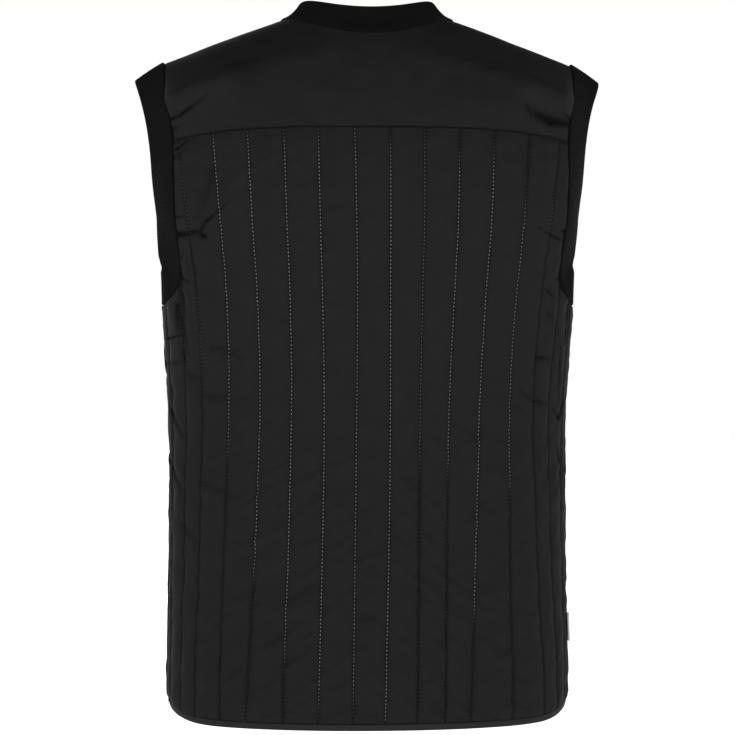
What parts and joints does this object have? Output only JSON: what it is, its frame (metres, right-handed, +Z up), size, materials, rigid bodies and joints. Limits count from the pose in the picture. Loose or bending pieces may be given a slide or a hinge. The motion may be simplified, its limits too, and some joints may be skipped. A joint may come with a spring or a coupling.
{
  "type": "thermal vest",
  "caption": "Sleeveless padded thermal vest in its worn, hollow form: channel-quilted satin panels, plain back yoke, rib-knit collar and armhole bands, bound hem and a zipped front.",
  "frame": {"origin": "on the centre line between the two shoulders, at the height where the shoulders hold the vest up", "axes": "+Z up towards the collar, the front faces -Y, the back faces +Y and the wearer's left side is +X"},
  "size_m": [0.4658, 0.2585, 0.7119],
  "materials": {
    "satin": "black nylon satin with a soft sheen",
    "quilted_satin": "black nylon satin over wadding, with pale quilting thread",
    "rib_knit": "matt black rib knit",
    "label_weave": "pale grey woven tape",
    "zip_tape": "matt black woven tape with a moulded chain",
    "zip_metal": "dark satin metal"
  },
  "bodies": {
    "vest": {"back_yoke": "satin", "back_panel": "quilted_satin", "front_left": "quilted_satin", "front_right": "quilted_satin", "collar": "rib_knit", "cuff_left": "rib_knit", "cuff_right": "rib_knit", "hem_back": "satin", "hem_front_left": "satin", "hem_front_right": "satin", "side_label": "label_weave", "zip_tape_left": "zip_tape", "zip_tape_right": "zip_tape", "zip_slider": "zip_metal"},
    "pull_tab": {"zip_pull": "zip_metal"}
  },
  "joints": [
    {"name": "pull_tab_swing", "type": "hinge", "parent": "vest", "child": "pull_tab", "pos_m": [0, -0.0845, -0.0496], "axis": [-1, 0, 0], "range_deg": [0, 150]}
  ]
}
